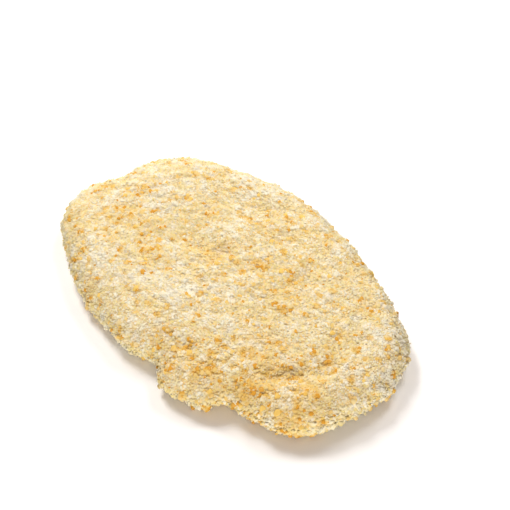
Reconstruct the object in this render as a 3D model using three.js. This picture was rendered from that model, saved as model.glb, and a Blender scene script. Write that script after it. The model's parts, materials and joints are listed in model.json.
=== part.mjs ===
// A breaded schnitzel: a cutlet beaten out flat, coated all over in bread crumbs and lying on its
// flat side. It is one piece, so it is one closed solid in one node.
//
// Frame: millimetres, +Z up. The origin is on the table under the middle of the cutlet. +X runs
// along it to the broad folded end, and -Y is the long side that carries the small lobe.

import * as THREE from 'three';
import { mergeVertices } from 'three/addons/utils/BufferGeometryUtils.js';
import { ImprovedNoise } from 'three/addons/math/ImprovedNoise.js';

// --- Driving dimensions, in millimetres -------------------------------------------------------

// The cutlet seen from above, anticlockwise from the middle of the broad end. Between the points
// the edge is one smooth curve.
const OUTLINE = [
  [82, 0], [80, 19], [67.5, 37], [42, 45.5], [12, 50.5], [-18, 49], [-42, 40.5], [-63.5, 29],
  [-74, 12], [-75.5, -6], [-77, -21.5], [-68.5, -36.5], [-49.5, -46], [-25, -52], [3, -52.5],
  [20, -46], [28.5, -51.5], [39.5, -46.5], [47.5, -41.5], [48.5, -35], [59, -31], [74.5, -24.5],
  [80.5, -12.5],
];

const MEAT_THICKNESS = 15;      // over most of the cutlet, without its swells
const RIM_HEIGHT = 6.5;         // the widest line of the edge above the table
const SHOULDER_INSET = 11;      // from the widest line in to where the top is fully up
const UNDERCUT_INSET = 9;       // from the widest line in to where the underside meets the table

// Swells (rise > 0) and hollows (rise < 0) of the top: centre, half widths, turn of the long
// half width from +X in degrees, and rise.
const SWELLS = [
  { name: 'long crown', at: [-2, 2], half: [62, 30], turn: 4, rise: 1.2 },
  { name: 'side hump', at: [8, -27], half: [24, 9], turn: 14, rise: 1.8 },
  { name: 'narrow end ridge', at: [-26, -37], half: [20, 6], turn: 10, rise: 1.1 },
  { name: 'folded corner', at: [76, -12], half: [13, 13], turn: 0, rise: 1.3 },
  { name: 'folded front', at: [59, -30], half: [12, 8], turn: -30, rise: 1 },
  { name: 'back edge welt', at: [8, 42], half: [44, 7], turn: -2, rise: 1.3 },
  { name: 'middle dip', at: [-16, -1], half: [18, 11], turn: 30, rise: -1.5 },
  { name: 'back dip', at: [-24, 24], half: [17, 8], turn: 8, rise: -1.2 },
  { name: 'front dip', at: [38, -6], half: [16, 12], turn: 20, rise: -0.9 },
  { name: 'lobe slope', at: [36, -46], half: [15, 8], turn: 10, rise: -3.4 },
  { name: 'narrow end slope', at: [-76, -4], half: [16, 34], turn: 0, rise: -2.2 },
];

// Creases where the meat folds against itself, as the points that each one runs through.
const CREASES = [
  { name: 'lobe', through: [[51, -40], [43, -38.5], [34, -35], [25, -36]], depth: 1.7, width: 3.4 },
  { name: 'fold', through: [[50, -26], [56, -18], [62, -10], [65, 3]], depth: 1.2, width: 3.4 },
  { name: 'fold branch', through: [[62, -10], [66, -17], [70, -25]], depth: 1.1, width: 3.2 },
];

// The crumb coat: cells of noise, from broad unevenness down to crags. size is the width of one
// cell and height the most that it lifts or sinks the surface.
const COAT = [
  { name: 'unevenness', size: 26, height: 0.9 },
  { name: 'crags', size: 9, height: 0.8 },
];

// Every corner of the mesh is one coarse crumb, and a fixed random draw says how far it stands
// out: most hardly do, and a few stand tall.
const CRUMB_SINK = 0.25;
const CRUMB_RISE = 1.15;
const CRUMB_RARITY = 3;         // the power that keeps the tall ones few
const CRUMB_SEED = 20617;

// How the mesh is spread: 20 * (MESH_DETAIL + 1)^2 triangles.
const MESH_DETAIL = 23;
const TOP_SHARE = 0.48;         // of the triangles, on the top inside the shoulder
const EDGE_SHARE = 0.32;        // on the rounded edge, and the rest on the underside
const OVAL_HALF_LENGTH = 79;    // the plain oval that the middle of the mesh keeps to
const OVAL_HALF_WIDTH = 50;
const OVAL_HOLD = 4;            // the power that holds the oval until close to the edge
const CORE_SHARE = 0.5;         // of the oval, the inner ring that the edge is drawn in towards
const OUTLINE_STEPS = 720;      // fine steps in which the outline is walked

// --- Plan: the outline, and distances to it ------------------------------------------------------

const flatPoints = (pairs) => pairs.map(([x, y]) => new THREE.Vector3(x, y, 0));

const outline = new THREE.CatmullRomCurve3(flatPoints(OUTLINE), true, 'centripetal');
outline.arcLengthDivisions = OUTLINE_STEPS;
const outlineWalk = outline.getPoints(OUTLINE_STEPS);

function distanceToPath(x, y, path) {
  let nearest = Infinity;
  for (let step = 0; step < path.length - 1; step += 1) {
    const from = path[step];
    const to = path[step + 1];
    const spanX = to.x - from.x;
    const spanY = to.y - from.y;
    const share = ((x - from.x) * spanX + (y - from.y) * spanY) / (spanX * spanX + spanY * spanY);
    const along = THREE.MathUtils.clamp(share, 0, 1);
    nearest = Math.min(nearest, Math.hypot(x - from.x - along * spanX, y - from.y - along * spanY));
  }
  return nearest;
}

// --- Form of the top --------------------------------------------------------------------------

const bell = (distance) => Math.exp(-distance * distance);

function swellRise(x, y) {
  let rise = 0;
  for (const swell of SWELLS) {
    const turn = THREE.MathUtils.degToRad(swell.turn);
    const offsetX = x - swell.at[0];
    const offsetY = y - swell.at[1];
    const along = (offsetX * Math.cos(turn) + offsetY * Math.sin(turn)) / swell.half[0];
    const across = (offsetY * Math.cos(turn) - offsetX * Math.sin(turn)) / swell.half[1];
    rise += swell.rise * bell(Math.hypot(along, across));
  }
  return rise;
}

const CREASE_STEPS = 16;
const creasePaths = CREASES.map(
  (crease) => new THREE.CatmullRomCurve3(flatPoints(crease.through)).getPoints(CREASE_STEPS),
);

function creaseDepth(x, y) {
  let depth = 0;
  CREASES.forEach((crease, index) => {
    const distance = distanceToPath(x, y, creasePaths[index]);
    depth = Math.max(depth, crease.depth * bell(distance / crease.width));
  });
  return depth;
}

const topHeight = (x, y) => MEAT_THICKNESS + swellRise(x, y) - creaseDepth(x, y);

// --- Base solid: a ball of triangles laid over the cutlet ---------------------------------------

// A quarter of an ellipse: 0 at the outline, 1 from the inset inwards.
function roundedEdge(distance, inset) {
  const share = 1 - Math.min(distance / inset, 1);
  return Math.sqrt(1 - share * share);
}

const oval = new THREE.EllipseCurve(0, 0, OVAL_HALF_LENGTH, OVAL_HALF_WIDTH);
const ovalLengths = oval.getLengths(OUTLINE_STEPS);

// The share of the oval's edge that lies before a turn of 0 to 1 round its centre.
function edgeShare(turn) {
  const place = turn * OUTLINE_STEPS;
  const step = Math.min(Math.floor(place), OUTLINE_STEPS - 1);
  const length = THREE.MathUtils.lerp(ovalLengths[step], ovalLengths[step + 1], place - step);
  return length / ovalLengths[OUTLINE_STEPS];
}

// Where a point of the unit ball goes in plan. The ball's upper cap covers the top, a band round
// its middle the edge, and its lower cap the underside. The middle of the mesh keeps to a plain
// oval, and towards the edge it takes up the outline, which is shared out evenly along its length.
function planPoint(turn, fromTop) {
  const onOval = oval.getPoint(turn);
  const onOutline = outline.getPointAt(edgeShare(turn));
  const rim = new THREE.Vector2(onOutline.x, onOutline.y);
  const inwards = onOval.clone().multiplyScalar(CORE_SHARE).sub(rim).normalize();
  const stepIn = (inset) => rim.clone().addScaledVector(inwards, inset);
  const onCap = (share, inset) => {
    const spread = Math.sqrt(share);
    const plain = onOval.clone().setLength(onOval.length() - inset);
    return plain.lerp(stepIn(inset), spread ** OVAL_HOLD).multiplyScalar(spread);
  };
  const edgeStart = TOP_SHARE;
  const edgeEnd = TOP_SHARE + EDGE_SHARE;
  if (fromTop < edgeStart) return onCap(fromTop / edgeStart, SHOULDER_INSET);
  if (fromTop > edgeEnd) return onCap((1 - fromTop) / (1 - edgeEnd), UNDERCUT_INSET);
  const sweep = (fromTop - edgeStart) / EDGE_SHARE * Math.PI;
  const inset = sweep < Math.PI / 2 ? SHOULDER_INSET : UNDERCUT_INSET;
  return stepIn(inset * (1 - Math.sin(sweep)));
}

function layOverCutlet(ball) {
  const widestFromTop = TOP_SHARE + EDGE_SHARE / 2;
  for (let index = 0; index < ball.count; index += 1) {
    const around = Math.atan2(ball.getY(index), ball.getX(index)) / (2 * Math.PI);
    const turn = around < 0 ? around + 1 : around;
    const fromTop = (1 - ball.getZ(index)) / 2;
    const { x, y } = planPoint(turn, fromTop);
    const inset = distanceToPath(x, y, outlineWalk);
    const z = fromTop < widestFromTop
      ? RIM_HEIGHT + (topHeight(x, y) - RIM_HEIGHT) * roundedEdge(inset, SHOULDER_INSET)
      : RIM_HEIGHT * (1 - roundedEdge(inset, UNDERCUT_INSET));
    ball.setXYZ(index, x, y, z);
  }
}

// --- Crumb coat ---------------------------------------------------------------------------------

const noise = new ImprovedNoise();

function coatRelief(point) {
  let relief = 0;
  for (const layer of COAT) {
    const { size, height } = layer;
    relief += height * noise.noise(point.x / size + size, point.y / size, point.z / size);
  }
  return relief;
}

// A small repeatable random source, so that every build has the same crumbs.
function seededRandom(seed) {
  let state = seed;
  return () => {
    state = (Math.imul(state, 1664525) + 1013904223) >>> 0;
    return state / 4294967296;
  };
}

function crumbLift(random) {
  return CRUMB_RISE * random() ** CRUMB_RARITY - CRUMB_SINK;
}

// The coat lifts the surface along its normals. It fades out towards the table, where the crumbs
// are pressed flat, so the resting face stays one plane at z = 0.
const PRESSED_HEIGHT = 3;

function coatWithCrumbs(geometry) {
  geometry.computeVertexNormals();
  const positions = geometry.attributes.position;
  const normals = geometry.attributes.normal;
  const random = seededRandom(CRUMB_SEED);
  const point = new THREE.Vector3();
  const normal = new THREE.Vector3();
  for (let index = 0; index < positions.count; index += 1) {
    point.fromBufferAttribute(positions, index);
    normal.fromBufferAttribute(normals, index);
    const freedom = THREE.MathUtils.smoothstep(point.z, 0, PRESSED_HEIGHT);
    point.addScaledVector(normal, freedom * (coatRelief(point) + crumbLift(random)));
    positions.setXYZ(index, point.x, point.y, Math.max(point.z, 0));
  }
}

// --- The schnitzel --------------------------------------------------------------------------------

function makeSchnitzel() {
  const ball = new THREE.IcosahedronGeometry(1, MESH_DETAIL);
  ball.deleteAttribute('normal');
  ball.deleteAttribute('uv');
  const geometry = mergeVertices(ball);
  layOverCutlet(geometry.attributes.position);
  coatWithCrumbs(geometry);

  geometry.computeBoundingBox();
  const middle = geometry.boundingBox.getCenter(new THREE.Vector3());
  geometry.translate(-middle.x, -middle.y, 0);
  geometry.computeVertexNormals();

  const material = new THREE.MeshStandardMaterial({ color: 0xebd09b, roughness: 0.85, metalness: 0 });
  const mesh = new THREE.Mesh(geometry, material);
  mesh.name = 'schnitzel';
  return mesh;
}

const part = new THREE.Group();
part.add(makeSchnitzel());

export default part;
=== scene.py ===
"""Dresses the packed schnitzel as an uncooked, breaded cutlet.

The coat is a fine mesh grown from the cutlet's own solid. Six kinds of crumb lie on it as real
geometry, one piece for each kind. Lengths are in metres, in the frame of the packed model.
"""

import json
import math
import random
from dataclasses import dataclass

import bmesh
import bpy
import numpy as np
from bpy.props import EnumProperty, FloatProperty, FloatVectorProperty, IntProperty, PointerProperty
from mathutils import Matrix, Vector, noise

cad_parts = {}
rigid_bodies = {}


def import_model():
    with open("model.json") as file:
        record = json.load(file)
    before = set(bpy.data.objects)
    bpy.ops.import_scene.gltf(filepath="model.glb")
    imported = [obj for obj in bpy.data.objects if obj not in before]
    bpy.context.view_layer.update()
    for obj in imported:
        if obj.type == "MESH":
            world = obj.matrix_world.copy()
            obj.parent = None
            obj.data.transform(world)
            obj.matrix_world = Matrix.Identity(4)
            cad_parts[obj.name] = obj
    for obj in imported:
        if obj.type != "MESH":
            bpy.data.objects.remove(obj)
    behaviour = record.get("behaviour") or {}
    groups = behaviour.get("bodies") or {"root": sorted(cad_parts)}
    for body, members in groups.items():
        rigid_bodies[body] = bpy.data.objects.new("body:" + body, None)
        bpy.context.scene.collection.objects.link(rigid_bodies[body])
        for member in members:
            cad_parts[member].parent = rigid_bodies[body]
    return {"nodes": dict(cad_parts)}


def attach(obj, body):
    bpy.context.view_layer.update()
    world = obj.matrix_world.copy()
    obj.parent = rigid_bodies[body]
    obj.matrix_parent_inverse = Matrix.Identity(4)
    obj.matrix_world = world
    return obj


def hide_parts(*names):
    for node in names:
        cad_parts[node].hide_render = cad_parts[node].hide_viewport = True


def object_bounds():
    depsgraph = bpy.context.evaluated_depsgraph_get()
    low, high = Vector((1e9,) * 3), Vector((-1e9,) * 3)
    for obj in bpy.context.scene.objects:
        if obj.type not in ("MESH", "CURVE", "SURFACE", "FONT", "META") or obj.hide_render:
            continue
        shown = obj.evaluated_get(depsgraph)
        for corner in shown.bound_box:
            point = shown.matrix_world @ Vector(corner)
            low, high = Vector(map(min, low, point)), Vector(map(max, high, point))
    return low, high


bl_info = {
    "name": "Breaded Schnitzel",
    "version": (1, 0, 0),
    "blender": (4, 5, 0),
    "location": "View3D > Sidebar > Schnitzel",
    "description": "Coats a cutlet in bread crumbs and sets it on a pale floor",
    "category": "Object",
}

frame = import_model()
CUTLET = frame["nodes"]["schnitzel"]
CAD_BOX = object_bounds()

MM = 0.001
BAKE_MAP = "OFBake"

# --- Where the coat is floury and where it is toasted ---------------------------------------------
# Each spot: middle in millimetres in plan, radius in millimetres, and strength.

TOASTED_SPOTS = [
    (67, -24, 11, 2.5), (61, -9, 8, 2.0), (52, -20, 8, 1.3), (50, -31, 8, 1.1), (36, -31, 8, 1.0),
    (14, -38, 8, 1.1), (37, -13, 8, 1.3), (28, -37, 9, 1.1), (-15, 3, 9, 1.1), (65, 6, 8, 1.1),
    (6, -11, 7, 0.8), (20, 44, 8, 0.9), (-6, 40, 9, 1.0), (-22, -26, 7, 0.6), (21, 10, 8, 0.5),
    (51, 13, 8, 0.4), (-61, -12, 9, 0.7), (-41, -21, 8, 0.5), (-49, -33, 9, 0.6), (-2, 23, 7, 0.3),
    (44, -40, 8, 0.7),
]
FLOURY_SPOTS = [
    (3, -21, 12, 1.0), (-12, -29, 10, 0.9), (-27, -35, 9, 0.9), (-52, 22, 9, 0.6), (0, 11, 8, 1.1),
    (74, 10, 9, 0.6), (-40, 38, 12, 0.9), (-10, 50, 10, 0.9), (66, 28, 9, 1.1), (-61, 1, 9, 1.1),
    (-50, -2, 9, 0.9), (-42, -42, 9, 0.8),
]

# The largest orange crumbs: place in plan in millimetres, and size in millimetres.
LARGE_CRUMBS = [
    (-7, 41, 3.7), (-2, 22, 2.8), (13, 16, 3.1), (-28, 34, 2.4), (-21, -26, 2.6), (-23, -24.5, 2.3),
    (-42, -18, 2.7), (-60, -12, 2.6), (50, 13, 3.0), (26, 30, 3.0), (42, 24, 2.4), (15, 29, 2.6),
    (-12, 36, 2.3), (43, -38, 2.8), (26, -36, 2.8), (20, -39, 2.6), (14, -44, 2.6), (-50, -32, 2.6),
    (-20, -48, 2.4), (74, -19, 2.8), (66, -24, 3.4), (62, -21, 3.0), (61, -27, 3.0), (61, -10, 2.8),
]


@dataclass(frozen=True)
class Kind:
    """One kind of crumb, with the values that its settings start from."""

    key: str
    label: str
    smallest: float
    largest: float
    spacing: float
    pale: tuple
    deep: tuple
    corners: int
    stretch: tuple = (1.0, 0.94, 0.82)
    rarity: float = 1.5             # the power that keeps the large ones few
    shapes: int = 10
    floury_pull: float = 0.0        # more of them where the coat is floury, or fewer
    toasted_pull: float = 0.0
    browning: float = 0.0           # how far the toasted colour, with its painted shade where the coat is sunk, takes it over
    tilt: float = 1.2               # how far they lean from lying flat, in radians
    rise: float = 0.0               # how far they stand out, as a share of their size


KINDS = (
    Kind(
        "flour_grains", "Flour grains", 0.52 * MM, 1.20 * MM, 0.615 * MM,
        pale=(0.87, 0.815, 0.675), deep=(0.84, 0.72, 0.48), corners=6,
        floury_pull=0.4, browning=0.8, rise=0.25,
    ),
    Kind(
        "pale_crumbs", "Pale crumbs", 1.00 * MM, 2.60 * MM, 0.94 * MM,
        pale=(0.87, 0.815, 0.66), deep=(0.82, 0.69, 0.38), corners=9,
        floury_pull=0.3, browning=0.75, rise=-0.08,
    ),
    Kind(
        "straw_crumbs", "Straw crumbs", 1.00 * MM, 2.40 * MM, 0.94 * MM,
        pale=(0.865, 0.79, 0.575), deep=(0.805, 0.65, 0.28), corners=9,
        floury_pull=-0.4, browning=0.85, rise=-0.12,
    ),
    Kind(
        "golden_crumbs", "Golden crumbs", 1.30 * MM, 3.20 * MM, 1.50 * MM,
        pale=(0.82, 0.65, 0.33), deep=(0.79, 0.54, 0.18), corners=11,
        floury_pull=-0.6, toasted_pull=6.0, rise=-0.08,
    ),
    Kind(
        "orange_crumbs", "Orange crumbs", 1.00 * MM, 3.20 * MM, 1.06 * MM,
        pale=(0.84, 0.57, 0.15), deep=(0.67, 0.32, 0.035), corners=11,
        stretch=(1.0, 0.86, 0.72), rarity=2.2,
        floury_pull=-1.0, toasted_pull=28.0, tilt=0.8, rise=-0.04,
    ),
    Kind(
        "splinters", "Splinters", 0.90 * MM, 2.00 * MM, 2.00 * MM,
        pale=(0.86, 0.81, 0.66), deep=(0.83, 0.69, 0.37), corners=6,
        stretch=(1.0, 0.26, 0.2), browning=0.4, tilt=1.4, rise=0.15,
    ),
)
KIND_BY_KEY = {kind.key: kind for kind in KINDS}


# --- Node trees -----------------------------------------------------------------------------------


def in_use(sockets, key):
    """The socket of that name or place among those that the node's settings leave in use."""
    live = [socket for socket in sockets if socket.enabled]
    return live[key] if isinstance(key, int) else next(s for s in live if s.name == key)


class Signal:
    """A socket that can be reckoned with: an expression on signals adds its Math nodes."""

    def __init__(self, socket):
        self.socket = socket

    def output(self, name):
        """Another output of the same node."""
        return Signal(in_use(self.socket.node.outputs, name))

    def reckon(self, operation, *values):
        """A Math node on these values, of which this signal is one."""
        nodes = Nodes(self.socket.id_data)
        return nodes.add("ShaderNodeMath", {"operation": operation}, dict(enumerate(values)))

    def __add__(self, other):
        return self.reckon("ADD", self, other)

    __radd__ = __add__

    def __sub__(self, other):
        return self.reckon("SUBTRACT", self, other)

    def __rsub__(self, other):
        return self.reckon("SUBTRACT", other, self)

    def __mul__(self, other):
        return self.reckon("MULTIPLY", self, other)

    __rmul__ = __mul__

    def __truediv__(self, other):
        return self.reckon("DIVIDE", self, other)

    def __rtruediv__(self, other):
        return self.reckon("DIVIDE", other, self)

    def __pow__(self, power):
        return self.reckon("POWER", self, power)

    def __mod__(self, other):
        return self.reckon("MODULO", self, other)

    def floor(self):
        return self.reckon("FLOOR", self)

    def ceil(self):
        return self.reckon("CEIL", self)

    def at_least(self, low):
        return self.reckon("MAXIMUM", self, low)

    def at_most(self, high):
        return self.reckon("MINIMUM", self, high)

    def kept_to_share(self):
        """The signal held between 0 and 1."""
        return self.at_least(0.0).at_most(1.0)


class Nodes:
    """Adds nodes to one tree."""

    def __init__(self, tree):
        self.tree = tree

    def add(self, kind, settings=None, sockets=None):
        """A node of that type: its settings first, then the values or links of its sockets."""
        node = self.tree.nodes.new(kind)
        for name, value in (settings or {}).items():
            setattr(node, name, value)
        for name, value in (sockets or {}).items():
            socket = in_use(node.inputs, name)
            if isinstance(value, Signal):
                self.tree.links.new(value.socket, socket)
            else:
                socket.default_value = value
        outputs = [socket for socket in node.outputs if socket.enabled]
        return Signal(outputs[0]) if outputs else None

    def blend(self, share, low, high):
        """A colour between two: low where share is 0 and high where it is 1."""
        return self.add(
            "ShaderNodeMix",
            {"data_type": "RGBA"},
            {"Factor": share, "A": opaque(low), "B": opaque(high)},
        )

    def tint(self, base, cast):
        """A colour multiplied by another."""
        return self.add(
            "ShaderNodeMix",
            {"data_type": "RGBA", "blend_type": "MULTIPLY"},
            {"Factor": 1.0, "A": base, "B": cast},
        )

    def noise(self, vector, cell, detail=2.0):
        """Cloudy noise from 0 to 1 with cells of that width."""
        return self.add(
            "ShaderNodeTexNoise", {}, {"Vector": vector, "Scale": 1.0 / cell, "Detail": detail}
        )

    def stored(self, name):
        """In a material, the number that the mesh keeps under that name."""
        return self.add("ShaderNodeAttribute", {"attribute_name": name}).output("Fac")


def opaque(colour):
    """A colour socket's value: signals pass, and three numbers get an alpha of 1."""
    return colour if isinstance(colour, Signal) else (*colour, 1.0)


def new_material(name, roughness, gloss):
    """A material with its Nodes and its Principled shader."""
    material = bpy.data.materials.new(name)
    material.use_nodes = True
    shader = material.node_tree.nodes["Principled BSDF"]
    shader.inputs["Roughness"].default_value = roughness
    shader.inputs["Specular IOR Level"].default_value = gloss
    return material, Nodes(material.node_tree), shader


# --- Settings -------------------------------------------------------------------------------------


def length(name, description, default):
    """A property for a length in metres."""
    return FloatProperty(
        name=name, description=description, default=default, unit="LENGTH", precision=5
    )


def angle(name, description, degrees):
    """A property for an angle, which Blender keeps in radians."""
    return FloatProperty(
        name=name, description=description, default=math.radians(degrees), unit="ROTATION"
    )


def power(name, description, default):
    """A property for a lamp's power in watts."""
    return FloatProperty(name=name, description=description, default=default, unit="POWER")


def colour(name, description, default):
    """A property for a colour."""
    return FloatVectorProperty(
        name=name, description=description, default=default, subtype="COLOR", min=0.0, max=1.0
    )


class CoatSettings(bpy.types.PropertyGroup):
    """The mesh of the coat under the loose crumbs."""

    cuts: IntProperty(name="Cuts", description="Cuts in each edge of the solid", default=3, min=0, max=3)
    clump_width: length("Clump width", "Width of the clumps of crumbs", 4.2 * MM)
    clump_height: length("Clump height", "How far a clump stands out", 0.28 * MM)
    grain_width: length("Grain width", "Width of the grains pressed into the coat", 1.9 * MM)
    grain_height: length("Grain height", "How far a grain stands out", 0.22 * MM)
    light: colour("Light", "Colour of the coat's crests", (0.83, 0.70, 0.42))
    dark: colour("Dark", "Colour of the coat between the crumbs", (0.82, 0.57, 0.23))
    floury: colour("Floury", "Colour where the coat is dusted with flour", (0.86, 0.79, 0.64))
    # The toasted colour is also painted as shade where the coat is sunk.
    toasted: colour("Toasted", "Colour where the crumbs are toasted", (0.78, 0.47, 0.08))


def crumb_settings(kind):
    """The property group of one kind of crumb, with that kind's values as its defaults."""
    annotations = {
        "smallest": length("Smallest", "Size of the smallest crumbs", kind.smallest),
        "largest": length("Largest", "Size of the largest crumbs", kind.largest),
        "spacing": length("Spacing", "Least distance between two crumbs", kind.spacing),
        "pale": colour("Pale", "Colour of the palest crumbs", kind.pale),
        "deep": colour("Deep", "Colour of the deepest crumbs", kind.deep),
    }
    name = kind.label.title().replace(" ", "") + "Settings"
    contents = {"__doc__": f"{kind.label} on the coat.", "__annotations__": annotations}
    return type(name, (bpy.types.PropertyGroup,), contents)


CRUMB_SETTINGS = {kind.key: crumb_settings(kind) for kind in KINDS}


class StageSettings(bpy.types.PropertyGroup):
    """The floor, the light and the camera."""

    azimuth: angle("Azimuth", "Turn of the camera round the cutlet", 55)
    elevation: angle("Elevation", "Camera above the horizon", 46)
    distance: length("Distance", "From the camera to the point that it looks at", 0.55)
    view_width: length("View width", "Width of the picture at that point", 0.212)
    floor_half: length("Floor half width", "Half the width of the floor", 20.0)
    left_power: power("Left power", "Power of the left lamp", 11.9)
    right_power: power("Right power", "Power of the right lamp", 6.4)
    front_power: power("Front power", "Power of the front lamp", 11.6)
    lamp_size: length("Lamp size", "Width of each lamp", 0.4)
    fill_strength: FloatProperty(name="Fill strength", description="Brightness of the sky", default=0.39)
    fill: colour("Fill", "Colour of the sky", (1.0, 0.86, 0.79))
    floor: colour("Floor", "Colour of the floor", (0.99, 0.99, 0.99))


SchnitzelSettings = type(
    "SchnitzelSettings",
    (bpy.types.PropertyGroup,),
    {
        "__doc__": "Everything that a user may change.",
        "__annotations__": {
            "coat": PointerProperty(type=CoatSettings),
            "stage": PointerProperty(type=StageSettings),
            **{key: PointerProperty(type=group) for key, group in CRUMB_SETTINGS.items()},
        },
    },
)


# --- Coat -----------------------------------------------------------------------------------------

COAT_NAME = "crumb_coat"
WELD_DISTANCE = 0.005 * MM
FIRST_SMOOTHING = 0.3           # of the solid itself
SMOOTHING = 0.45                # in each round after it is cut fine
SMOOTHING_ROUNDS = 2

CLUMP_STEEPNESS = 2.0           # how soon a clump is at its full height, in from its edge
CLUMP_MIDDLE = 0.7              # taken off, so that the coat sinks as much as it rises
SWELL_WIDTH = 2.4               # of the broad swells, in clump widths
SWELL_HEIGHT = 1.3              # the same in clump heights
GRAIN_MIDDLE = 0.5              # how far from its centre, in cells, a grain meets the coat
UNDERSIDE_DENT = 0.35 * MM      # how far the coat stays off the floor, so that crumbs carry it
UNDERSIDE_GRAIN = 0.4           # how much of the grains' height is left on the underside
ROUGH_EDGE = 1.8                # how much more the coat stands out round the edge
CRAGGINESS = 1.0                # how much more the coat stands out where it is toasted
MOST_CRAGGY = 1.6               # the most that overlapping toasted spots count for it
SUNK_SHADE_START = 0.35               # painted shade: how sunk a place counts that is neither raised nor lowered
SUNK_SHADE_CONTRAST = 1.2             # how much a clump's height changes that

# Clouds: the width of a cell, an offset that tells one from another, and strength.
BROAD_DUST = (14 * MM, 3.1, 0.5)
FINE_DUST = (3.4 * MM, 5.3, 1.2)
WARM_CLOUD = (9 * MM, 7.7, 0.6)
FLOURY_STRENGTH = 0.7
TOASTED_STRENGTH = 0.35

# Specks are small round toasted places, and warmth is how toasted the coat is round them.
SPECK_SEED = 8
SPECK_CELL = 4.4 * MM           # from one speck to the next
SPECK_SHARE = 0.58              # how many of the cells have a speck
SPECKS_BY_WARMTH = 1.2
SMALLEST_SPECK = 0.24           # radius, in cells
SPECK_SPREAD = 0.22             # how much larger a speck may be
SPECK_RIM = 0.3                 # how much of the radius is soft edge
BEND_CELL = 0.4                 # of the noise that bends the specks out of round, in cells
BEND = 0.25
LUCK_WAY = Vector((12.99, 78.23, 37.72))
LUCK_SCALE = 43758.5
SECOND_LUCK = 17.0              # takes another draw out of the first one's digits
WARM_TINGE = 0.2                # how much the warmth itself toasts the coat
SUNK_SHADE_TINGE = 0.45          # painted shade: how much more the warmth browns the coat where it is sunk

MAP_WIDTH, MAP_DEPTH = 1.04, 1.10   # of the bake map, to the solid's
MAP_LEFT, MAP_BOTTOM = 0.02, 0.04   # where the solid's corner lies on the map
FACES_DOWN = -0.2               # a normal's height, below which a face is on the underside

GRAIN_CELL = 1.15 * MM          # from one grain to the next in the coat's own finish
FINE_GRAIN = 0.6 * MM           # the width of the noise between the grains
GRAIN_CONTRAST = 1.2            # how strongly the fine grain changes the coat's tone
WHITENING = 2.0                 # how strongly flour whitens some of the grains
TOASTING = 1.6                  # how strongly the toasted colour takes over
MOST_TOASTED = 0.8              # how far it may take over
GRAIN_BUMP = 0.4                # of the fine grain, to that of the grain cells
BUMP_STRENGTH = 0.8
BUMP_HEIGHT = 0.5 * MM


def bells(points, spots):
    """The sum of the spots' bells at each point, in plan."""
    plan = points[:, :2] / MM
    total = np.zeros(len(plan))
    for x, y, radius, strength in spots:
        distance = np.hypot(plan[:, 0] - x, plan[:, 1] - y) / radius
        total += strength * np.exp(-distance ** 2)
    return total


def cloud(points, cell, offset, strength):
    """Cloudy noise at each point, from about minus to plus the strength."""
    shift = Vector((offset, -offset, offset))
    return np.array([noise.noise(Vector(point) / cell + shift) for point in points]) * strength


def specks(points, cell, shares):
    """Round specks with soft edges, one in some of the cells: 1 in a speck, 0 between them."""
    found = np.zeros(len(points))
    noise.seed_set(SPECK_SEED)
    for index, (point, share) in enumerate(zip(points, shares)):
        bend = noise.noise_vector(Vector(point) / (BEND_CELL * cell)) * BEND
        distances, centres = noise.voronoi(Vector(point) / cell + bend)
        luck = math.sin(centres[0].dot(LUCK_WAY)) * LUCK_SCALE % 1.0
        if luck < share:
            radius = SMALLEST_SPECK + SPECK_SPREAD * (luck * SECOND_LUCK % 1.0)
            found[index] = min(1.0, max(0.0, (radius - distances[0]) / (SPECK_RIM * radius)))
    return found


def store_field(mesh, name, values):
    """Keeps one number for each vertex, which the crumbs scattered on the mesh take over."""
    stored = mesh.attributes.new(name, "FLOAT", "POINT")
    stored.data.foreach_set("value", np.clip(values, 0.0, 1.0).astype(np.float32))


def store_flour_toast_and_shade(mesh):
    """Keeps on the coat how floury and how toasted it is at each vertex."""
    points = np.empty(len(mesh.vertices) * 3)
    mesh.vertices.foreach_get("co", points)
    points = points.reshape(-1, 3)
    sunk = np.empty(len(mesh.vertices))
    mesh.attributes["sunk"].data.foreach_get("value", sunk)
    dust = cloud(points, *BROAD_DUST) + cloud(points, *FINE_DUST)
    store_field(mesh, "floury", bells(points, FLOURY_SPOTS) * FLOURY_STRENGTH + dust)
    warmth = bells(points, TOASTED_SPOTS) * TOASTED_STRENGTH + cloud(points, *WARM_CLOUD)
    speckled = specks(points, SPECK_CELL, SPECK_SHARE + warmth * SPECKS_BY_WARMTH)
    # Painted shade: the warm tinge is stronger where the coat is sunk.
    tinge_and_shade = warmth * (WARM_TINGE + SUNK_SHADE_TINGE * sunk)
    store_field(mesh, "toasted", speckled + tinge_and_shade)


def forget(mesh, *names):
    """Drops the attributes of those names that the mesh has."""
    for name in names:
        if name in mesh.attributes:
            mesh.attributes.remove(mesh.attributes[name])


def smooth(shape, factor):
    """Draws every vertex of the bmesh towards its neighbours."""
    bmesh.ops.smooth_vert(
        shape, verts=shape.verts, factor=factor, use_axis_x=True, use_axis_y=True, use_axis_z=True
    )


def fine_solid(cuts):
    """The cutlet's solid as a bmesh, cut fine and smoothed."""
    shape = bmesh.new()
    shape.from_mesh(CUTLET.data)
    bmesh.ops.remove_doubles(shape, verts=shape.verts, dist=WELD_DISTANCE)
    smooth(shape, FIRST_SMOOTHING)
    bmesh.ops.subdivide_edges(shape, edges=shape.edges, cuts=cuts, use_grid_fill=True)
    for _ in range(SMOOTHING_ROUNDS):
        smooth(shape, SMOOTHING)
    shape.normal_update()
    return shape


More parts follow.
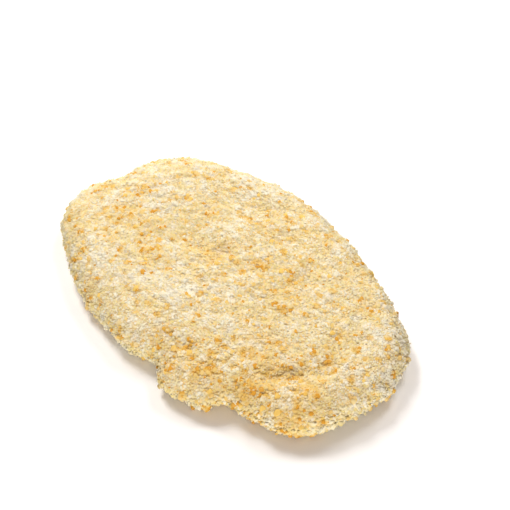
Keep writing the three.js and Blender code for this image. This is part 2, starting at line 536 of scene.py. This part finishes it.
def raise_relief(shape, settings):
    """Raises clumps and grains, and keeps how sunk each vertex is and where it faced before."""
    sunk = shape.verts.layers.float.new("sunk")
    facing = shape.verts.layers.float_vector.new("facing")
    places = np.array([vert.co[:] for vert in shape.verts])
    crags = np.clip(bells(places, TOASTED_SPOTS), 0.0, MOST_CRAGGY)
    for vert, crag in zip(shape.verts, crags):
        first, second = noise.voronoi(vert.co / settings.clump_width)[0][:2]
        clumps = min(1.0, (second - first) * CLUMP_STEEPNESS) - CLUMP_MIDDLE
        clumps += noise.noise(vert.co / settings.clump_width)
        clumps += SWELL_HEIGHT * noise.noise(vert.co / (SWELL_WIDTH * settings.clump_width))
        nearest = noise.voronoi(vert.co / settings.grain_width)[0][0]
        raised = settings.clump_height * clumps + settings.grain_height * (GRAIN_MIDDLE - nearest)
        shade_in_hollow = SUNK_SHADE_START - SUNK_SHADE_CONTRAST * raised / settings.clump_height
        vert[sunk] = min(1.0, max(0.0, shade_in_hollow))
        vert[facing] = vert.normal
        rough = 1.0 + max(ROUGH_EDGE * (1.0 - abs(vert.normal.z)), CRAGGINESS * crag)
        place = vert.co + vert.normal * raised * rough
        lowest = UNDERSIDE_DENT + UNDERSIDE_GRAIN * settings.grain_height * (1.0 - nearest)
        place.z = max(place.z, lowest)
        vert.co = place


def plan_unwrap(shape):
    """A map for the coat: its underside below and its top above, both as seen from over it."""
    layer = shape.loops.layers.uv.new(BAKE_MAP)
    low, high = CAD_BOX
    width = (high.x - low.x) * MAP_WIDTH
    depth = (high.y - low.y) * MAP_DEPTH
    for face in shape.faces:
        upper = face.normal.z > FACES_DOWN
        for loop in face.loops:
            across = (loop.vert.co.x - low.x) / width + MAP_LEFT
            along = (loop.vert.co.y - low.y) / depth + MAP_BOTTOM
            loop[layer].uv = (across, along * 0.5 + (0.5 if upper else 0.0))


def coat_material(settings):
    """Cream to tan, floury and toasted in places, with the fine crumbs' own bumps."""
    material, nodes, shader = new_material("crumb coat", roughness=0.9, gloss=0.15)
    place = nodes.add("ShaderNodeTexCoord").output("Object")
    cells = nodes.add("ShaderNodeTexVoronoi", {}, {"Vector": place, "Scale": 1.0 / GRAIN_CELL})
    hue = nodes.add("ShaderNodeSeparateColor", {}, {"Color": cells.output("Color")})
    grain = nodes.noise(place, FINE_GRAIN, detail=3.0)
    tone = (hue + (grain - 0.5) * GRAIN_CONTRAST).kept_to_share()
    base = nodes.blend(tone, settings.dark, settings.light)
    white = (hue.output("Green") * nodes.stored("floury") * WHITENING).kept_to_share()
    base = nodes.blend(white, base, settings.floury)
    # The toasted colour also paints shade where the coat is sunk.
    browned_and_shaded = (nodes.stored("toasted") * (grain * TOASTING)).kept_to_share() * MOST_TOASTED
    base = nodes.blend(browned_and_shaded, base, settings.toasted)
    bump = nodes.add(
        "ShaderNodeBump",
        {},
        {"Strength": BUMP_STRENGTH, "Distance": BUMP_HEIGHT, "Height": grain * GRAIN_BUMP - cells},
    )
    nodes.tree.links.new(base.socket, shader.inputs["Base Color"])
    nodes.tree.links.new(bump.socket, shader.inputs["Normal"])
    return material


def finish_piece(piece):
    """Every piece rides on the one body and takes its finish from the crumb coat."""
    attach(piece, "root")


class SCHNITZEL_OT_make_coat(bpy.types.Operator):
    """Grow the fine coat from the cutlet's solid"""

    bl_idname = "schnitzel.make_coat"
    bl_label = "Make Coat"

    def execute(self, context):
        settings = context.scene.schnitzel.coat
        shape = fine_solid(settings.cuts)
        raise_relief(shape, settings)
        plan_unwrap(shape)
        mesh = bpy.data.meshes.new(COAT_NAME)
        shape.to_mesh(mesh)
        shape.free()
        forget(mesh, "custom_normal")  # it describes the plain solid, not the relief
        for polygon in mesh.polygons:
            polygon.use_smooth = True
        store_flour_toast_and_shade(mesh)
        mesh.materials.append(coat_material(settings))
        coat = bpy.data.objects.new(COAT_NAME, mesh)
        context.scene.collection.objects.link(coat)
        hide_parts("schnitzel")
        finish_piece(coat)
        return {"FINISHED"}


# --- Crumbs ---------------------------------------------------------------------------------------

CRUMB_SEED = 4127
SHAPE_STEP = 31                 # in the seed, from one shape of crumb to the next
KIND_STEP = 101                 # in the seed, from one kind to the next
PLACES, TURNS, TONES, SIZES = range(4)  # added to a kind's seed, so that each draws its own numbers

GOLDEN_ANGLE = math.pi * (3.0 - math.sqrt(5.0))
CORNER_JITTER = 0.5             # how far a corner may turn from its even place, in radians
LEAST_REACH = 0.6               # of a corner from the middle, to the farthest
MAP_CORNERS = ((0.15, 0.15), (0.85, 0.15), (0.5, 0.85))  # of each face, in its crumb's cell

LARGE_SHARE = 1.25              # a crumb's size to the part of it that shows
RAY_HEIGHT = 1.0                # from where the large crumbs' places are dropped on the coat

FEWEST = 0.05                   # of the usual number, where the coat puts a kind off
EDGE_OF_UNDERSIDE = 1.0 * MM    # from twice this height down to it, the crumbs get fewer
UNDERSIDE_SHARE = 0.35          # how many of the crumbs are left below it
POINTS_TRIED = 1.6              # for each square of the spacing
STEEP_RISE = 0.3                # how much further the crumbs stand out where the coat is steep
PRESS_DEPTH = 0.45 * MM         # crumbs nearer the floor than this are pressed towards it
SOFTNESS = 0.62                 # how far the crumbs' normals turn towards the coat's

# What takes a crumb from its kind's pale colour to the deep one
OWN_TONE = 1.3                  # its own random tone
MOTTLE = 2.8                    # the tone of its patch
MOTTLE_WIDTH = 3.6 * MM         # patches in which neighbouring crumbs are alike in tone
SUNK_SHADE_TONE = 0.8                 # painted shade: deeper colour where the coat is sunk
FLOUR_PALING = 0.8              # taken off where it is floury
PALE_START = 0.25               # taken off everywhere
SECOND_TONE = 7.31              # takes another draw out of the tone's digits
ROSY, LEAFY = (1.0, 0.985, 0.96), (0.97, 1.0, 0.97)


def crumb_mesh(kind, number):
    """One crumb about 1 m across, before it is scaled: the hull of corners spread round a ball."""
    draw = random.Random(CRUMB_SEED + SHAPE_STEP * number + len(kind.key))
    shape = bmesh.new()
    for corner in range(kind.corners):
        height = 1.0 - 2.0 * (corner + 0.5) / kind.corners
        turn = corner * GOLDEN_ANGLE + draw.uniform(-CORNER_JITTER, CORNER_JITTER)
        ring = math.sqrt(1.0 - height * height)
        radius = 0.5 * draw.uniform(LEAST_REACH, 1.0)
        way = Vector((ring * math.cos(turn), ring * math.sin(turn), height))
        stretched = Vector(side * share for side, share in zip(way, kind.stretch))
        bmesh.ops.create_vert(shape, co=stretched * radius)
    bmesh.ops.convex_hull(shape, input=shape.verts)
    loose = [vert for vert in shape.verts if not vert.link_faces]
    bmesh.ops.delete(shape, geom=loose, context="VERTS")
    bmesh.ops.recalc_face_normals(shape, faces=shape.faces)
    layer = shape.loops.layers.uv.new(BAKE_MAP)
    for face in shape.faces:
        for loop, spot in zip(face.loops, MAP_CORNERS):
            loop[layer].uv = spot
    mesh = bpy.data.meshes.new(f"{kind.key} shape {number}")
    shape.to_mesh(mesh)
    shape.free()
    return mesh


def crumb_material(kind, settings, toasted_colour):
    """Each crumb has a tone of its own between the kind's pale and deep colours."""
    material, nodes, shader = new_material(kind.label.lower(), roughness=0.85, gloss=0.2)
    tone = nodes.stored("tone")
    place = nodes.add("ShaderNodeTexCoord").output("Object")
    mottle = nodes.noise(place, MOTTLE_WIDTH) - 0.5
    # Painted shade: crumbs where the coat is sunk are deeper in colour.
    share = tone * OWN_TONE + mottle * MOTTLE + nodes.stored("sunk") * SUNK_SHADE_TONE
    share = (share - nodes.stored("floury") * FLOUR_PALING - PALE_START).kept_to_share()
    base = nodes.blend(share, settings.pale, settings.deep)
    # The toasted colour brings in the painted shade of the sunk places too.
    base = nodes.blend(nodes.stored("toasted") * kind.browning, base, toasted_colour)
    base = nodes.tint(base, nodes.blend((tone * SECOND_TONE) % 1.0, ROSY, LEAFY))
    nodes.tree.links.new(base.socket, shader.inputs["Base Color"])
    return material


def random_value(nodes, low, high, seed, data_type="FLOAT"):
    """A value for each point, drawn between two."""
    return nodes.add(
        "FunctionNodeRandomValue", {"data_type": data_type}, {"Min": low, "Max": high, "Seed": seed}
    )


def field(nodes, name, data_type="FLOAT"):
    """In geometry nodes, the value that the geometry keeps under that name."""
    return nodes.add("GeometryNodeInputNamedAttribute", {"data_type": data_type}, {"Name": name})


def keep(nodes, geometry, domain, name, value, data_type="FLOAT"):
    """The geometry with a value kept on it under that name."""
    return nodes.add(
        "GeometryNodeStoreNamedAttribute",
        {"data_type": data_type, "domain": domain},
        {"Geometry": geometry, "Name": name, "Value": value},
    )


def axes_of(nodes, vector):
    """The three numbers of a vector, as the outputs X, Y and Z."""
    return nodes.add("ShaderNodeSeparateXYZ", {}, {"Vector": vector})


def random_size(nodes, kind, settings, seed):
    """Small crumbs are common and large ones few."""
    share = random_value(nodes, 0.0, 1.0, seed) ** kind.rarity
    return settings.smallest + share * (settings.largest - settings.smallest)


def crumb_density(nodes, kind):
    """How thickly the kind lies at each place, as a share of the most."""
    height = axes_of(nodes, nodes.add("GeometryNodeInputPosition")).output("Z")
    above = ((height - EDGE_OF_UNDERSIDE) / EDGE_OF_UNDERSIDE).kept_to_share()
    wanted = 1.0 + field(nodes, "floury") * kind.floury_pull
    wanted = wanted + field(nodes, "toasted") * kind.toasted_pull
    most = 1.0 + max(kind.floury_pull, 0.0) + max(kind.toasted_pull, 0.0)
    thinning = above * (1.0 - UNDERSIDE_SHARE) + UNDERSIDE_SHARE
    return (wanted.at_least(FEWEST) / most * thinning).kept_to_share()


def crumb_points(nodes, kind, settings, marks, seed):
    """Points on the coat, each with its crumb's size: random ones, and those of the marks."""
    points = nodes.add(
        "GeometryNodeDistributePointsOnFaces",
        {"distribute_method": "POISSON"},
        {
            "Mesh": nodes.add("NodeGroupInput"),
            "Distance Min": settings.spacing,
            "Density Max": POINTS_TRIED / settings.spacing ** 2,
            "Density Factor": crumb_density(nodes, kind),
            "Seed": seed + PLACES,
        },
    )
    size = random_size(nodes, kind, settings, seed + SIZES)
    scattered = keep(nodes, points, "POINT", "size", size)
    if marks is None:
        return scattered
    placed = nodes.add("GeometryNodeObjectInfo", {}, {"Object": marks}).output("Geometry")
    placed = nodes.add("GeometryNodeMeshToPoints", {}, {"Mesh": placed})
    joined = nodes.add("GeometryNodeJoinGeometry")
    for source in (placed, scattered):
        nodes.tree.links.new(source.socket, joined.socket.node.inputs[0])
    return joined


def crumb_turn(nodes, kind, facing, seed):
    """Each crumb stands up from the coat, and then leans and turns at random."""
    upright = nodes.add("FunctionNodeAlignRotationToVector", {"axis": "Z"}, {"Vector": facing})
    low = (-kind.tilt, -kind.tilt, 0.0)
    high = (kind.tilt, kind.tilt, 2.0 * math.pi)
    tumble = random_value(nodes, low, high, seed, "FLOAT_VECTOR")
    tumble = nodes.add("FunctionNodeEulerToRotation", {}, {"Euler": tumble})
    return nodes.add(
        "FunctionNodeRotateRotation",
        {"rotation_space": "LOCAL"},
        {"Rotation": upright, "Rotate By": tumble},
    )


def scatter_tree(kind, settings, shapes, marks):
    """Geometry nodes that lay this kind of crumb on the coat and join them into one mesh."""
    tree = bpy.data.node_groups.new(f"{kind.key} scatter", "GeometryNodeTree")
    for way in ("INPUT", "OUTPUT"):
        tree.interface.new_socket("Geometry", in_out=way, socket_type="NodeSocketGeometry")
    nodes = Nodes(tree)
    seed = CRUMB_SEED + KIND_STEP * KINDS.index(kind)

    points = crumb_points(nodes, kind, settings, marks, seed)
    facing = field(nodes, "facing", "FLOAT_VECTOR")
    size = field(nodes, "size")
    steep = 1.0 - axes_of(nodes, facing).output("Z")
    lifted = nodes.add(
        "ShaderNodeVectorMath",
        {"operation": "SCALE"},
        {"Vector": facing, "Scale": size * (steep * STEEP_RISE + kind.rise)},
    )
    source = nodes.add(
        "GeometryNodeCollectionInfo", {}, {"Collection": shapes, "Separate Children": True}
    )
    crumbs = nodes.add(
        "GeometryNodeInstanceOnPoints",
        {},
        {
            "Points": nodes.add("GeometryNodeSetPosition", {}, {"Geometry": points, "Offset": lifted}),
            "Instance": source,
            "Pick Instance": True,
            "Rotation": crumb_turn(nodes, kind, facing, seed + TURNS),
            "Scale": size,
        },
    )
    crumbs = keep(nodes, crumbs, "INSTANCE", "tone", random_value(nodes, 0.0, 1.0, seed + TONES))
    crumbs = keep(nodes, crumbs, "INSTANCE", "crumb", nodes.add("GeometryNodeInputIndex"))
    count = nodes.add("GeometryNodeAttributeDomainSize", {"component": "INSTANCES"}, {"Geometry": crumbs})
    joined = nodes.add("GeometryNodeRealizeInstances", {}, {"Geometry": crumbs})
    joined = nodes.add(
        "GeometryNodeSetPosition", {}, {"Geometry": joined, "Position": pressed_place(nodes)}
    )
    joined = keep(nodes, joined, "CORNER", BAKE_MAP, crumb_cell(nodes, count), "FLOAT2")
    nodes.add("NodeGroupOutput", {}, {"Geometry": joined})
    return tree


def pressed_place(nodes):
    """Where a corner goes: near the floor it is squeezed, and nothing reaches the floor itself."""
    place = axes_of(nodes, nodes.add("GeometryNodeInputPosition"))
    height = place.output("Z")
    below = ((height - PRESS_DEPTH) / PRESS_DEPTH).at_most(0.0)
    squeezed = below.reckon("EXPONENT", below) * PRESS_DEPTH
    over = (height - PRESS_DEPTH).at_least(0.0)
    return nodes.add(
        "ShaderNodeCombineXYZ",
        {},
        {"X": place.output("X"), "Y": place.output("Y"), "Z": squeezed + over},
    )


def crumb_cell(nodes, count):
    """Each crumb's own square of the bake map."""
    side = (count ** 0.5).ceil()
    crumb = field(nodes, "crumb")
    spot = axes_of(nodes, field(nodes, BAKE_MAP, "FLOAT_VECTOR"))
    across = (crumb % side + spot.output("X")) / side
    along = ((crumb / side).floor() + spot.output("Y")) / side
    return nodes.add("ShaderNodeCombineXYZ", {}, {"X": across, "Y": along})


def marked_places(coat):
    """An object of loose points, where the largest orange crumbs lie on the coat."""
    mesh = bpy.data.meshes.new("large crumb places")
    down = Vector((0.0, 0.0, -1.0))
    found = [coat.ray_cast(Vector((x * MM, y * MM, RAY_HEIGHT)), down) for x, y, _ in LARGE_CRUMBS]
    if not all(hit[0] for hit in found):
        raise RuntimeError("a large crumb lies outside the coat")
    mesh.from_pydata([hit[1] for hit in found], [], [])
    size = mesh.attributes.new("size", "FLOAT", "POINT")
    size.data.foreach_set("value", [crumb[2] * LARGE_SHARE * MM for crumb in LARGE_CRUMBS])
    facing = mesh.attributes.new("facing", "FLOAT_VECTOR", "POINT")
    facing.data.foreach_set("vector", [side for hit in found for side in hit[2]])
    return bpy.data.objects.new("large crumb places", mesh)


def soften(mesh):
    """Turns the crumbs' normals towards the coat's, as crumbs that light shines through look softer."""
    facing = np.empty(len(mesh.vertices) * 3, dtype=np.float32)
    mesh.attributes["facing"].data.foreach_get("vector", facing)
    own = np.empty(len(mesh.vertices) * 3, dtype=np.float32)
    mesh.vertex_normals.foreach_get("vector", own)
    mixed = (facing * SOFTNESS + own * (1.0 - SOFTNESS)).reshape(-1, 3)
    mixed /= np.linalg.norm(mixed, axis=1, keepdims=True)
    mesh.polygons.foreach_set("use_smooth", [True] * len(mesh.polygons))
    mesh.normals_split_custom_set_from_vertices(mixed)


class SCHNITZEL_OT_scatter_crumbs(bpy.types.Operator):
    """Lay one kind of crumb on the coat"""

    bl_idname = "schnitzel.scatter_crumbs"
    bl_label = "Scatter Crumbs"

    kind: EnumProperty(
        name="Kind",
        description="The kind of crumb to lay on the coat",
        items=[(kind.key, kind.label, kind.label + " on the coat") for kind in KINDS],
    )

    def execute(self, context):
        kind = KIND_BY_KEY[self.kind]
        settings = getattr(context.scene.schnitzel, self.kind)
        coat = bpy.data.objects[COAT_NAME]
        shapes = bpy.data.collections.new(f"{kind.key} shapes")
        for number in range(kind.shapes):
            mesh = crumb_mesh(kind, number)
            shapes.objects.link(bpy.data.objects.new(mesh.name, mesh))
        marks = marked_places(coat) if self.kind == "orange_crumbs" else None
        tree = scatter_tree(kind, settings, shapes, marks)
        piece = bpy.data.objects.new(kind.key, coat.data)
        context.scene.collection.objects.link(piece)
        piece.modifiers.new("Scatter", "NODES").node_group = tree
        depsgraph = context.evaluated_depsgraph_get()
        mesh = bpy.data.meshes.new_from_object(piece.evaluated_get(depsgraph), depsgraph=depsgraph)
        piece.modifiers.clear()
        piece.data = mesh
        mesh.name = kind.key
        mesh.materials.clear()
        toasted_colour = context.scene.schnitzel.coat.toasted
        mesh.materials.append(crumb_material(kind, settings, toasted_colour))
        soften(mesh)
        forget(mesh, "id", "crumb", "size", "facing")
        for source in list(shapes.objects) + ([marks] if marks else []):
            bpy.data.objects.remove(source)
        bpy.data.collections.remove(shapes)
        bpy.data.node_groups.remove(tree)
        finish_piece(piece)
        return {"FINISHED"}


# --- Stage ----------------------------------------------------------------------------------------

AIM = Vector((-12.79, 21.19, 0.0)) * MM  # the point that the camera looks at
SENSOR_WIDTH = 36.0             # millimetres, as Blender counts them
FLOOR_HEIGHT = -0.05 * MM       # a hair under the cutlet, so that the two never touch
# The three lamps: metres to the right of the view, away from the camera, and up
LEFT_PLACE = (-0.46, 0.72, 0.95)
RIGHT_PLACE = (0.47, 0.75, 0.92)
FRONT_PLACE = (0.03, -1.27, 0.13)


class SCHNITZEL_OT_set_stage(bpy.types.Operator):
    """Set the floor, the light and the camera"""

    bl_idname = "schnitzel.set_stage"
    bl_label = "Set Stage"

    def execute(self, context):
        settings = context.scene.schnitzel.stage
        scene = context.scene
        scene.view_settings.view_transform = "Standard"
        lay_floor(scene, settings)
        right = Vector((math.cos(settings.azimuth), math.sin(settings.azimuth), 0.0))
        away = Vector((-right.y, right.x, 0.0))
        hang_lights(scene, settings, right, away)
        place_camera(scene, settings, away)
        return {"FINISHED"}


def lay_floor(scene, settings):
    """A wide pale floor just under the cutlet."""
    shape = bmesh.new()
    bmesh.ops.create_grid(shape, x_segments=1, y_segments=1, size=settings.floor_half)
    bmesh.ops.translate(shape, verts=shape.verts, vec=(0.0, 0.0, FLOOR_HEIGHT))
    mesh = bpy.data.meshes.new("floor")
    shape.to_mesh(mesh)
    shape.free()
    material, _, shader = new_material("floor", roughness=0.9, gloss=0.0)
    shader.inputs["Base Color"].default_value = (*settings.floor, 1.0)
    mesh.materials.append(material)
    floor = bpy.data.objects.new("floor", mesh)
    scene.collection.objects.link(floor)


def hang_lights(scene, settings, right, away):
    """Three square lamps that shine at the cutlet, and an even sky."""
    for name, watts, (side, back, up) in (
        ("left lamp", settings.left_power, LEFT_PLACE),
        ("right lamp", settings.right_power, RIGHT_PLACE),
        ("front lamp", settings.front_power, FRONT_PLACE),
    ):
        light = bpy.data.lights.new(name, "AREA")
        light.size = settings.lamp_size
        light.energy = watts
        lamp = bpy.data.objects.new(name, light)
        lamp.location = right * side + away * back + Vector((0.0, 0.0, up))
        lamp.rotation_euler = lamp.location.to_track_quat("Z", "Y").to_euler()
        scene.collection.objects.link(lamp)
    sky = bpy.data.worlds.new("sky")
    sky.use_nodes = True
    background = sky.node_tree.nodes["Background"]
    background.inputs["Color"].default_value = (*settings.fill, 1.0)
    background.inputs["Strength"].default_value = settings.fill_strength
    scene.world = sky


def place_camera(scene, settings, away):
    """A camera that looks along the view and down at the aim."""
    lens = bpy.data.cameras.new("camera")
    lens.sensor_width = SENSOR_WIDTH
    lens.lens = SENSOR_WIDTH * settings.distance / settings.view_width
    camera = bpy.data.objects.new("camera", lens)
    back = -away * math.cos(settings.elevation) + Vector((0.0, 0.0, math.sin(settings.elevation)))
    camera.location = AIM + back * settings.distance
    camera.rotation_euler = back.to_track_quat("Z", "Y").to_euler()
    scene.collection.objects.link(camera)
    scene.camera = camera


# --- Add-on ---------------------------------------------------------------------------------------


class SCHNITZEL_PT_panel(bpy.types.Panel):
    """The steps in their order"""

    bl_idname = "SCHNITZEL_PT_panel"
    bl_label = "Schnitzel"
    bl_space_type = "VIEW_3D"
    bl_region_type = "UI"
    bl_category = "Schnitzel"

    def draw(self, context):
        layout = self.layout
        layout.operator(SCHNITZEL_OT_make_coat.bl_idname)
        for kind in KINDS:
            layout.operator(SCHNITZEL_OT_scatter_crumbs.bl_idname, text=kind.label).kind = kind.key
        layout.operator(SCHNITZEL_OT_set_stage.bl_idname)


CLASSES = (
    CoatSettings,
    *CRUMB_SETTINGS.values(),
    StageSettings,
    SchnitzelSettings,
    SCHNITZEL_OT_make_coat,
    SCHNITZEL_OT_scatter_crumbs,
    SCHNITZEL_OT_set_stage,
    SCHNITZEL_PT_panel,
)


def register():
    for item in CLASSES:
        bpy.utils.register_class(item)
    bpy.types.Scene.schnitzel = PointerProperty(type=SchnitzelSettings)


def unregister():
    del bpy.types.Scene.schnitzel
    for item in reversed(CLASSES):
        bpy.utils.unregister_class(item)


def main():
    """Makes every piece and the stage, and writes the sizes of the solid and of the dressed part."""
    register()
    bpy.ops.schnitzel.make_coat()
    for kind in KINDS:
        bpy.ops.schnitzel.scatter_crumbs(kind=kind.key)
    bpy.ops.schnitzel.set_stage()


if __name__ == "__main__":
    main()
